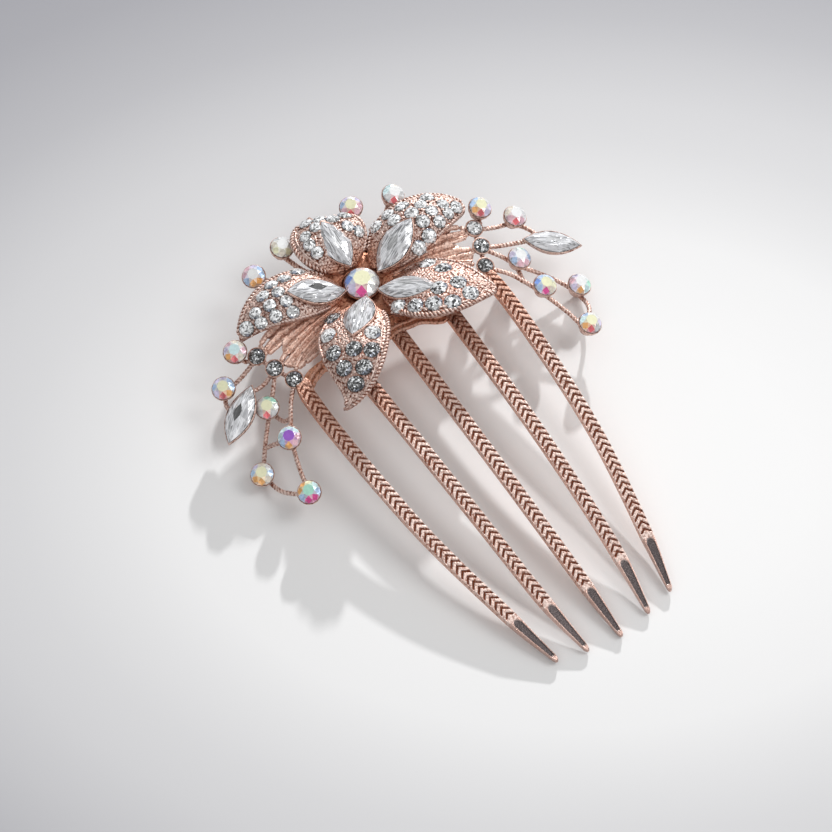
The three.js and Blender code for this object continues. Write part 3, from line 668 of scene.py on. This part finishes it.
def petal_point(d, side, s, t, lift=0.0):
    s, t = np.broadcast_arrays(np.asarray(s, float), np.asarray(t, float))
    p = np.array(d["p"], float)
    r = 1 - s
    c = np.stack([r**3, 3 * s * r * r, 3 * s * s * r, s**3], -1) @ p
    h = np.stack([-3 * r * r, 3 * r * r - 6 * s * r, 6 * s * r - 3 * s * s, 3 * s * s], -1) @ p
    h[..., 2] = 0
    h = unit(h)
    w = petal_width(d, s, d["blunt"]) * (1 - np.where(t < 0, d["skew"] * t, (0.4 * d["skew"] - d["wide"]) * t))
    c[..., 0] -= h[..., 1] * w * t
    c[..., 1] += h[..., 0] * w * t
    c[..., 2] += (d["tilt"] * t - d["crown"] * t * t) * w / (d["w"] + 1) + lift
    c += h * (d["slant"] * t * s**3)[..., None]
    c[..., 0] *= side
    return c + HOOK_AT * (d["hook"] * s * s * (1 - s) ** 0.7 * (s - 0.65))[..., None]


def petal_basis(d, side, s, t):
    """Point on the petal and its axes: along, across and outwards."""
    e = 0.01
    p = petal_point(d, side, s, t)
    a = petal_point(d, side, s + e, t) - petal_point(d, side, s - e, t)
    b = (petal_point(d, side, s, t + e) - petal_point(d, side, s, t - e)) * side
    n = unit(np.cross(a, b))
    x = unit(a)
    return p, np.stack([x, np.cross(n, x), n], 1)


def levelled(m, towards):
    n = unit(m[:, 2] + 0.9 * towards)
    x = unit(m[:, 0] - (m[:, 0] @ n) * n)
    return np.stack([x, np.cross(n, x), n], 1)


CROWD = 2.72  # least distance between the middles of two small stones
RIM_LIFT, SETTING = -0.1, 0.14  # how the rope sits on the edge, and the metal seen round a pointed stone
# how bright the table of each pointed stone is painted: painted reflection, dark on some petals and light on others
DARK_CORE = {"top": 0.95, "side_left": 0.12, "side_right": 0.45, "low_left": 0.85, "low_right": 0.6}


def crowd(d, side, spots, at, q, stone_l, stone_w):
    """Adds small stones in the places left on the petal, always next to the stones already there."""
    s, t = np.meshgrid(np.linspace(0.34, 0.95, 50), np.linspace(-0.84, 0.84, 43), indexing="ij")
    p = petal_point(d, side, s, t)
    inside = (p - at) @ q
    half = np.clip(1 - (2 * inside[..., 0] / stone_l) ** 2, 0, 1) * stone_w / 2
    free = (np.abs(inside[..., 0]) > stone_l / 2 + 0.9) | (np.abs(inside[..., 1]) > half + 1.0)
    free &= petal_width(d, s, d["blunt"]) * (1 - np.abs(t)) > 1.35
    while True:
        near = np.min([np.linalg.norm(p - c, axis=-1) for c, _ in spots], axis=0)
        near = np.where(free & (near > CROWD), near, 99.0)
        k = np.unravel_index(np.argmin(near), near.shape)
        if near[k] > 4.2:
            return
        spots.append(petal_basis(d, side, s[k], t[k]))


def pointed_setting(shell, L, W, at, q, copper):
    """A close-fitting pointed oval tray whose thin lip is just seen round the stone."""
    walls = [lens_ring(L + 3.2 * g, W + 2 * g, z, 16) for g, z in (
        (-0.6, -1.5), (-0.1, -0.9), (SETTING + 0.1, -0.3), (SETTING + 0.05, -0.02), (SETTING - 0.06, 0.06),
        (0.02, 0.0), (0.0, -0.4), (-0.5, -0.8))]
    # darker on the lip's inner side, inside the tray and under it: painted shadow round the stone and painted shade
    # under the tray
    dark = np.array([0.4, 0.3, 0.1, 0.05, 0.25, 0.8, 0.9, 0.9])[:, None] + np.zeros(32)
    shell.tube(np.array(walls) @ q.T + at, copper, dark)


def petal(key, side, word, seed):
    which = key if key == "top" else f"{key}_{'left' if side < 0 else 'right'}"
    d = dict(PETALS[key], **OUTLINE[which])
    bend = np.array(d["bend"])
    d["p"] = [*d["p"][:2], d["p"][2] + 0.4 * bend, d["p"][3] + bend]
    stone_l, stone_w, crown, under = d["stone"]
    stone_l, stone_w = stone_l + 0.3, stone_w + 0.3
    shell, gem, bright, shaded = Shell(), Gem(), Gem(), Gem()
    # seat of the pointed stone
    a, b = (side_of(q, side) for q in d["seat"])
    x = unit(b - a)
    y = (petal_point(d, side, 0.4, 0.5) - petal_point(d, side, 0.4, -0.5)) * side
    y = unit(y - (y @ x) * x)
    q = np.stack([x, y, np.cross(x, y)], 1)
    at = a + x * (stone_l - 0.3) / 2
    # places of the small stones, each as large as its neighbours let it be
    spots = []
    for ps, pt in PAVE[which]:
        pt = pt * petal_width(d, ps, 0) / petal_width(d, ps, d["blunt"])
        p, m = petal_basis(d, side, ps, pt)
        if key == "low":  # on the steep low petals the small stones are set leaning back towards the middle
            m = levelled(m, petal_basis(d, side, 0.6, -0.35)[1][:, 2])
        inside = (p - at) @ q
        half = (1 - (2 * inside[0] / stone_l) ** 2) * stone_w / 2
        if abs(inside[0]) > stone_l / 2 or abs(inside[1]) > half + 0.4:
            spots.append((p, m))
    if key != "low":
        crowd(d, side, spots, at, q, stone_l, stone_w)
    place = np.array([p for p, m in spots])
    gaps = np.linalg.norm(place[:, None] - place[None], axis=-1) + 9 * np.eye(len(place))
    least, most = (1.48, 1.68) if key == "low" else (1.28, 1.50)
    radii = np.clip(gaps.min(1) / 2 + 0.06, least, most)
    # leaf with a grained surface, smooth only under the stones
    s = np.linspace(0, 1, 180)[:, None]
    t = np.linspace(-1, 1, 90)[None]
    top = petal_point(d, side, s, t)
    along = np.r_[0, np.cumsum(np.linalg.norm(np.diff(top[:, 45], axis=0), axis=1))][:, None]
    width = np.linalg.norm(top[:, -1] - top[:, 0], axis=1)[:, None] / 2
    grain = beads(along + 0 * t, width * t, 0.55, seed)
    n = unit(np.cross(np.gradient(top, axis=0), np.gradient(top, axis=1)))
    n = n * np.sign(n[90, 45, 2])
    clear = np.ones(top.shape[:2])
    for (p, m), r in zip(spots, radii):
        clear = np.minimum(clear, smooth((np.linalg.norm(top - p, axis=-1) - r) / 0.3))
    rim = smooth((np.abs(t) - 0.91) / 0.05)
    top = top + n * ((0.24 * grain - 0.14) * clear * (1 - rim) + 0.05 * rough_field(top, 0.4, seed))[..., None]
    root = smooth((0.30 - s) / 0.26)
    # painted shade: the metal is coppery at the root and darker there, darker round the stones, darker all over on the
    # low petals and more on the right low one; the dark between the beads is the grain
    shell.sheet(top, petal_point(d, side, s, t, -1.0), 0.04 + 0.65 * root + 0.15 * rough_field(top, 1.1, seed + 1),
                (0.95 if key == "low" else 0.70) * (1 - grain) ** 2.4 * (1 - rim) * clear
                + (0.55 if key == "low" else 0.35) * (1 - clear) + 0.1 * root + (0.14 if which == "low_right" else 0))
    # one rope-edged rim, and a thin plain one on the other edge
    edge = np.linspace(0.14, 0.985, 26)
    shell.rope(petal_point(d, side, edge, d["rim"] * 0.97, RIM_LIFT), 0.54, 1.5, 2, 0.45, 0.05, strand_groove_dark=1.5)
    shell.rope(petal_point(d, side, edge, -d["rim"] * 0.99, 0.02), 0.34, 1.3, 2, 0.2, 0.03)
    shell.rope(petal_point(d, side, edge[3:-2], d["rim"] * 0.85, 0.10), 0.18, 0, 0, 0, 0.05, step=0.3)
    pointed_setting(shell, stone_l, stone_w, at, q, 0.3)
    navette(gem, stone_l, stone_w, crown, under, at, q, (DARK_CORE[which],) * 3, seed)
    gem_piece(gem, f"petal_navette_cut_{word}", STREAK, [f"petal_navette_{word}"])
    # small stones, each in a thin collar with little beads round it
    for k, ((p, m), r) in enumerate(zip(spots, radii)):
        base = p - m[:, 2] * (0.10 if key == "low" else -0.06)
        # the collar is darkest on its inner side and at its foot: painted shadow round the stone and painted shade
        # under it
        shell.turned([[0, -0.9], [r + 0.15, -0.9], [r + 0.16, -0.1], [r + 0.09, -0.02], [r + 0.01, -0.06],
                      [r - 0.02, -0.5], [0, -0.5]], base, m, 28, 0.2,
                     np.array([0.6, 0.5, 0.3, 0.7, 0.9])[:, None] + np.zeros(28))
        for j in range(6):
            w = 2 * math.pi * (j + 0.3 * (k % 3)) / 6 + seed
            off = m[:, 0] * math.cos(w) + m[:, 1] * math.sin(w)
            shell.bead(base + off * (r + 0.22) - m[:, 2] * 0.03, 0.25, m, 0.05)
        tone = stone_tone(which, k)
        clear_round(shaded if tone == 2 else bright, r, base, m, tone > 0, seed * 50 + k)
    gem_piece(bright, f"pave_stones_{word}", CLEAR)
    if shaded.v:
        gem_piece(shaded, f"pave_stones_shaded_{word}", SHADED_CRYSTAL)
    metal_piece(shell, f"petal_beaded_{word}", [f"petal_{word}"])


def stone_tone(which, k):
    """0 for a bright stone, 1 for a speckled one and 2 for a dark one, the speckled and dark ones painted in shade; the
    low petals have the speckled and dark ones.
    """
    if which == "low_left":
        return 0 if k in (1, 2) else 2
    return 1 if which == "low_right" and k not in (0, 8) else 0


petal("top", 1, "top", 1)
for side, word in ((-1, "left"), (1, "right")):
    petal("side", side, f"side_{word}", 2 + side)
    petal("low", side, f"low_{word}", 6 + side)


# ---- centre ---------------------------------------------------------------
def centre():
    top, r = 12.2, 3.3
    girdle = np.array([0, 0, top - 0.42 * r])
    shell, gem = Shell(), Gem()
    # the collar is darker inside its lip and at its foot: painted shadow round the stone and painted shade under it
    shell.turned([[0, 8.7], [2.7, 8.7], [2.9, 9.5], [r + 0.1, 10.2], [r + 0.14, 10.7], [r + 0.06, 10.78],
                  [r - 0.02, 10.7], [2.4, 10.0], [0, 9.9]], np.zeros(3), np.eye(3), 48, 0.55,
                 np.array([0.5, 0.4, 0.2, 0, 0.3, 0.8, 0.9])[:, None] + np.zeros(48))
    metal_piece(shell, "centre_collar", ["centre_setting"])
    round_stone(gem, r, girdle, np.eye(3), "YMNNWWBDL", 5)
    gem_piece(gem, "centre_stone_cut", AURORA, ["centre_stone"])
    plate = Shell()
    # painted shade: the plate is darker towards its raised middle under the petals
    plate.turned([[0, 7.5], [8.3, 7.5], [8.8, 7.62], [9.0, 7.95], [8.6, 8.4], [7.2, 9.0], [5.8, 9.55], [4.4, 9.6],
                  [3.6, 9.3], [3.45, 8.42], [0, 8.42]], np.array([0, 0.6, 0]), np.eye(3), 60, 0.9,
                 np.array([0.15, 0.1, 0.0, 0.1, 0.2, 0.3, 0.35, 0.5, 0.6])[:, None] + np.zeros(60), 0.004)
    metal_piece(plate, "backing_plate_cast", ["backing_plate"])


centre()

# ---- sprays ----------------------------------------------------------------
R, SMALL = 2.16, 1.52
ROUNDS = {"a": [7.7, 15.4, 11.3], "b": [16, 12.8, 11.7], "c": [27.8, 1, 11.6], "d": [33.1, -2.9, 8.8],
          "e": [28.6, -10.9, 8.5], "f": [28.9, -18.9, 9], "g": [36, -20, 4.13], "h": [31.7, -29.6, 7]}
LEAN = {"a": (-.1, -.15), "b": (.25, -.2), "c": (.25, -.2), "d": (.27, -.2), "e": (.25, -.2), "f": (.25, -.22),
        "g": (.27, -.2), "h": (.25, -.22)}
SMALLS = {"one": [24.6, -1.5, 10.2], "two": [23.4, -5.7, 10.5], "three": [21.6, -9.6, 10.2]}
COLOURS = {  # table, then the eight kites from the lower one round
    ("a", -1): "WKYNNNNKY", ("b", -1): "WOOBBLPPB", ("c", -1): "CRKPKKPLO", ("d", -1): "YROBBLLBL",
    ("e", -1): "YRNNGGNNN", ("f", -1): "VOPPCCCCB", ("g", -1): "YOKBNKLBO", ("h", -1): "GMMBCYOOB",
    ("a", 1): "YRPPLWLBP", ("b", 1): "WRNNWKCCN", ("c", 1): "YRLLNKBBO", ("d", 1): "WRPNNNKKP",
    ("e", 1): "WPPBBGNLB", ("f", 1): "YMKYBBBDB", ("g", 1): "WOCGNNLPL", ("h", 1): "YRNLNNBCO"}


def cup(shell, at, q, r, drop, copper=0.2):
    """A deep tapered cup, hidden by its stone but for a thin lip, with a waist where the stem joins."""
    # dark on the lip's inner side under the stone and at the foot: painted shadow line under the stone and painted
    # shade under the cup
    shell.turned([[0, -drop], [0.45 * r, -drop], [0.62 * r, -drop * 0.88], [0.76 * r, -drop * 0.62],
                  [r * 0.98, -drop * 0.36], [r + 0.12, -0.42], [r + 0.16, -0.22], [r + 0.09, -0.1], [r - 0.02, -0.12],
                  [0.8 * r, -0.5], [0, -0.55]], at, q, 40, copper,
                 np.array([0.5, 0.35, 0.15, 0.0, 0.1, 0.0, 0.1, 0.8, 0.9])[:, None] + np.zeros(40), 0.012)


def seated(at, lean_xy, side, r):
    q = lean(lean_xy[0] * side, lean_xy[1])
    return q, side_of(at, side) - q[:, 2] * 0.42 * r


LEAF_RIBS = [  # root, middle and end of each rib, on the right-hand side
    ([6.4, 1.6, 9.0], [14.5, 2.1, 9.5], [19.5, 1.9, 9.3], [22.4, 0.7, 9.0]),
    ([6.3, 0.9, 9.0], [14.5, 0.6, 9.4], [19.0, 0.4, 9.2], [22.5, -0.9, 9.0]),
    ([6.2, 0.2, 9.0], [14.2, -0.8, 9.5], [18.6, -1.3, 9.2], [22.3, -1.9, 9.0]),
    ([6.1, -0.6, 9.0], [13.8, -2.0, 9.4], [18.0, -3.0, 9.2], [21.4, -4.7, 9.1]),
    ([6.0, -1.4, 9.0], [13.4, -3.2, 9.5], [17.4, -4.4, 9.2], [21.3, -5.8, 9.1]),
    ([5.9, -2.2, 9.0], [13.0, -4.3, 9.4], [16.8, -5.4, 9.1], [20.0, -7.2, 8.9]),
    ([5.8, -3.0, 9.0], [12.6, -5.4, 9.3], [16.0, -6.4, 9.0], [19.4, -7.6, 8.8]),
    ([5.7, -3.7, 9.0], [12.0, -6.3, 9.2], [15.4, -7.0, 8.9], [17.6, -7.3, 8.7]),
]


def ribbed_leaf(side, word):
    """Fine grained ribs that fan out from under the flower, joined by a web near the flower and open further out."""
    shell = Shell()
    count = 120
    ribs = np.array([spline(r, count)[0] for r in LEAF_RIBS])
    v = np.linspace(0, len(ribs) - 1, 106)
    web = np.stack([np.stack([np.interp(v, np.arange(len(ribs)), ribs[:, i, k]) for k in range(3)], -1)
                    for i in range(count)])
    k = np.linspace(0, 1, count)[:, None]
    lobes = np.cos(2 * math.pi * v)[None]
    grain = beads(k * 15, v[None] * 1.3 + 0 * k, 0.5, 2.0)
    web[..., 2] += 0.40 + 0.20 * lobes + 0.14 * grain + 0.10 * rough_field(web, 0.6, 3.1)
    # painted shade: darker in the furrows between the ribs; the dark between the beads is the grain
    dark = np.clip(0.08 - 0.25 * lobes + 0.6 * (1 - grain) ** 2, 0, 1)
    reach = 0.80 + 0.08 * np.cos(v * 2.1) + 0.30 * (np.mod(np.floor(v), 3) == 1)
    cell = (np.arange(count - 1) / count)[:, None]
    keep = cell < reach[None, :-1]
    web[..., 0] *= side
    low = web.copy()
    low[..., 2] = web[..., 2] - 0.6
    # painted shade: coppery towards the flower, where the petals shade the leaf
    shell.sheet(web, low, 0.80 - 0.45 * k + 0 * lobes, dark * 0.6, keep)
    for i, rib in enumerate(LEAF_RIBS):
        path = [side_of(p, side) for p in rib]
        shell.rope(path, 0.52 - 0.03 * (i % 3), 0, 0, 0, 0.34, 0.0)
    for i, j in ((0, 1), (1, 2), (3, 4), (5, 6), (6, 7)):
        a, b = (side_of(LEAF_RIBS[n][3], side) for n in (i, j))
        shell.rope([a, (a + b) / 2 + np.array([0.25 * side, 0, 0.1]), b], 0.46, 0, 0, 0, 0.25)
    metal_piece(shell, f"ribbed_leaf_cast_{word}", [f"ribbed_leaf_{word}"], LIT_LEAF_METAL)


NAVETTE_SET = {-1: (-1.4, 0.9, 0.16), 1: (0.8, -1.4, 0.08)}  # the pointed stones are set a little apart by hand


def spray(side, word):
    shell = Shell()
    m = lambda *p: side_of(p, side)
    foot, seats = {}, {}
    for key in "cdefgh":
        q, at = seated(ROUNDS[key], LEAN[key], side, R)
        seats[key] = (q, at)
        foot[key] = at - q[:, 2] * 2.85
        cup(shell, at, q, R, 3.02)
    for key, table in SMALLS.items():
        q, at = seated(table, (0.2, -0.2), side, SMALL)
        seats[key] = (q, at)
        foot[key] = at - q[:, 2] * 1.05
        # darker inside the lip and at the foot: painted shadow round the stone and painted shade under the setting
        shell.turned([[0, -1.3], [0.7, -1.3], [SMALL + 0.05, -0.9], [SMALL + 0.24, -0.4], [SMALL + 0.26, -0.08],
                      [SMALL + 0.14, 0.0], [SMALL + 0.0, -0.06], [SMALL - 0.05, -0.4], [0, -0.45]], at, q, 30, 0.3,
                     np.array([0.4, 0.3, 0.2, 0.0, 0.0, 0.7, 0.9])[:, None] + np.zeros(30))
    # pointed oval setting at the outer end
    dx, dy, turn = NAVETTE_SET[side]
    a, b = m(30 + dx, -6.6 + dy, 8.6), m(39.3 + dx, -13.1 + dy, 6.2)
    x = unit(b - a)
    y = unit(np.cross([turn * side, 1.4 * turn, 1], x))
    q = np.stack([x, y, np.cross(x, y)], 1)
    at = (a + b) / 2
    L, W, crown, under = LONG
    L, W = (L + 0.3, W - 0.4) if side < 0 else (L - 0.6, W - 0.7)
    pointed_setting(shell, L, W, at, q, 0.1)
    wires = [
        (foot["one"], foot["two"], foot["three"]),
        (foot["one"], m(28.8, -2.2, 6.9), foot["d"]),
        (foot["one"], m(26.4, -0.3, 8.0), foot["c"]),
        (foot["two"], m(26.5, -6.3, 7.6), a + 0.08 * (b - a) - q[:, 2] * 0.7),
        (foot["two"], m(25.6, -8.4, 7.6), foot["e"]),
        (foot["three"], m(24.3, -12.6, 8.3), m(26.8, -16.2, 6.6), foot["f"]),
        (foot["e"], m(26.9, -13.6, 5.2), m(25.9, -14.9, 7.1)),
        (foot["e"], m(32.0, -15.0, 2.9), m(34.6, -18.4, 1.0), foot["g"]),
        (foot["f"], m(30.4, -16.4, 4.2), m(32.2, -15.3, 2.8)),
        (foot["f"], m(30.0, -24.3, 4.3), foot["h"]),
        (foot["g"], m(34.5, -24.6, 2.4), foot["h"]),
        (foot["d"], m(33.9, -5.2, 5.6), at - q[:, 2] * 1.2),
    ]
    for w in wires:
        shell.rope(w, 0.46, 1.4, 2, 0.26, 0.12, 0.0)
    metal_piece(shell, f"spray_wires_{word}", [f"spray_casting_{word}"])
    gem = Gem()
    # the table of the left stone is painted dark and the right one light: painted reflection
    core = 0.10 if side < 0 else 0.7
    navette(gem, L, W, crown, under, at, q, (core, core, core), 31 + side)
    gem_piece(gem, f"spray_navette_cut_{word}", STREAK, [f"spray_navette_{word}"])
    for i, key in enumerate(SMALLS):
        gem = Gem()
        # all the small stones on the left and all but the first on the right are painted in shade
        dark = side < 0 or key != "one"
        clear_round(gem, SMALL, seats[key][1], seats[key][0], dark, 70 + i + side)
        gem_piece(gem, f"small_stone_cut_{key}_{word}", SHADED_CRYSTAL if dark else CLEAR, [f"small_stone_{key}_{word}"])
    fork = Shell()
    for key in "ab":
        q, at = seated(ROUNDS[key], LEAN[key], side, R)
        seats[key] = (q, at)
        foot[key] = at - q[:, 2] * 2.85
        cup(fork, at, q, R, 3.1)
    fork.rope([m(5.4, 6.4, 8.9), m(7.0, 10.4, 8.6), foot["a"]], 0.54, 1.4, 2, 0.26, 0.25)
    fork.rope([m(5.6, 6.3, 8.9), m(10.6, 9.6, 8.6), foot["b"]], 0.54, 1.4, 2, 0.26, 0.25)
    metal_piece(fork, f"rear_fork_wires_{word}", [f"rear_fork_{word}"])
    for i, key in enumerate("abcdefgh"):
        gem = Gem()
        round_stone(gem, R, seats[key][1], seats[key][0], COLOURS[key, side], 90 + i * 2 + side)
        gem_piece(gem, f"aurora_cut_{key}_{word}", AURORA, [f"aurora_stone_{key}_{word}"])


for side, word in ((-1, "left"), (1, "right")):
    ribbed_leaf(side, word)
    spray(side, word)


# ---- stage -----------------------------------------------------------------
# the card is painted with a pool of light: brightest low and right of the comb and falling off towards the edges, more
# quickly up and down the view, and a little bluer where it is darker
CARD_ACROSS, CARD_UP = (4.60, -3.06, 0), (4.37, 6.18, 0)  # directions on the card, per metre
CARD_MIDDLE = (0.101, -0.057)
CARD = [(0.0, 0.88), (0.25, 0.85), (0.40, 0.80), (0.48, 0.72), (0.56, 0.65), (0.63, 0.61), (0.71, 0.54), (0.78, 0.47),
        (0.93, 0.37), (1.0, 0.35)]


def floor():
    mesh = bpy.data.meshes.new("floor")
    e = 3.0
    mesh.from_pydata([(-e, -e, -0.0002), (e, -e, -0.0002), (e, e, -0.0002), (-e, e, -0.0002)], [], [(0, 1, 2, 3)])
    ob = bpy.data.objects.new("floor", mesh)
    bpy.context.scene.collection.objects.link(ob)
    m, nodes, links, bsdf = shader("pale_card")
    at = nodes.new("ShaderNodeTexCoord").outputs["Object"]
    squares = []
    for direction, middle in zip((CARD_ACROSS, CARD_UP), CARD_MIDDLE):
        dot = nodes.new("ShaderNodeVectorMath")
        dot.operation = "DOT_PRODUCT"
        links.new(at, dot.inputs[0])
        dot.inputs[1].default_value = direction
        off = math_node(nodes, links, "SUBTRACT", dot.outputs["Value"], middle)
        squares.append(math_node(nodes, links, "MULTIPLY", off, off))
    away = math_node(nodes, links, "SQRT", math_node(nodes, links, "ADD", *squares))
    # painted pool of light: the ramp gives the card's brightness by distance from its middle
    ramp = nodes.new("ShaderNodeValToRGB")
    while len(ramp.color_ramp.elements) < len(CARD):
        ramp.color_ramp.elements.new(0.5)
    for e, (x, g) in zip(ramp.color_ramp.elements, CARD):
        e.position, e.color = x, (g, g, g + 0.06 * (0.85 - g), 1)
    links.new(away, ramp.inputs[0])
    tone = noise(nodes, links, at, 9, 2)
    links.new(mix_node(nodes, links, tone, ramp.outputs[0], (0.985, 0.985, 0.985), "MULTIPLY"),
              bsdf.inputs["Base Color"])
    bsdf.inputs["Roughness"].default_value = 0.7
    mesh.materials.append(m)


def lamp(name, at, target, size, power, colour=(1, 1, 1)):
    data = bpy.data.lights.new(name, "AREA")
    data.shape = "DISK"
    data.size, data.energy, data.color = size, power, colour
    ob = bpy.data.objects.new(name, data)
    bpy.context.scene.collection.objects.link(ob)
    ob.location = at
    ob.rotation_euler = (Vector(target) - Vector(at)).to_track_quat("-Z", "Y").to_euler()


def stage():
    floor()
    scene = bpy.context.scene
    world = bpy.data.worlds.new("studio")
    scene.world = world
    world.use_nodes = True
    nodes, links = world.node_tree.nodes, world.node_tree.links
    nodes.clear()
    out, back = nodes.new("ShaderNodeOutputWorld"), nodes.new("ShaderNodeBackground")
    links.new(back.outputs[0], out.inputs[0])
    split = nodes.new("ShaderNodeSeparateXYZ")
    links.new(nodes.new("ShaderNodeTexCoord").outputs["Generated"], split.inputs[0])
    ramp = nodes.new("ShaderNodeValToRGB")
    for e, (x, c) in zip(ramp.color_ramp.elements, ((0.0, (0.42, 0.41, 0.42, 1)), (0.6, (1.0, 1.0, 1.0, 1)))):
        e.position, e.color = x, c
    links.new(split.outputs["Z"], ramp.inputs[0])
    links.new(ramp.outputs[0], back.inputs["Color"])
    back.inputs["Strength"].default_value = 0.60
    aim = (0, 0, 0.005)
    lamp("key", (0.50, -0.20, 0.62), aim, 0.40, 1.8)
    lamp("low", (1.60, 1.64, 0.85), aim, 0.08, 48)
    lamp("fill", (-0.45, -0.50, 0.60), aim, 0.5, 0.6)
    # camera: the view from the tine side, rolled a little, through a long lens
    right = Vector((0.8320, -0.5528, -0.0462))
    up = Vector((0.4901, 0.6936, 0.5279))
    toward = Vector((-0.2598, -0.4619, 0.8480))
    look = Vector((0, 33.0, 11.9)) * MM
    cam = bpy.data.objects.new("camera", bpy.data.cameras.new("camera"))
    scene.collection.objects.link(cam)
    cam.location = look + toward * 0.850
    forward = (-toward * 0.850 + right * 0.01013 - up * 0.02542).normalized()
    x = forward.cross(up).normalized()
    y = x.cross(forward)
    cam.matrix_world = Matrix.Translation(cam.location) @ Matrix(
        ((x.x, y.x, -forward.x), (x.y, y.y, -forward.y), (x.z, y.z, -forward.z))).to_4x4()
    cam.data.sensor_width = 36
    cam.data.lens = 196.8
    cam.data.clip_start, cam.data.clip_end = 0.01, 20
    scene.camera = cam
    scene.view_settings.view_transform = "Standard"
    scene.view_settings.look = "None"


stage()
bpy.context.view_layer.update()
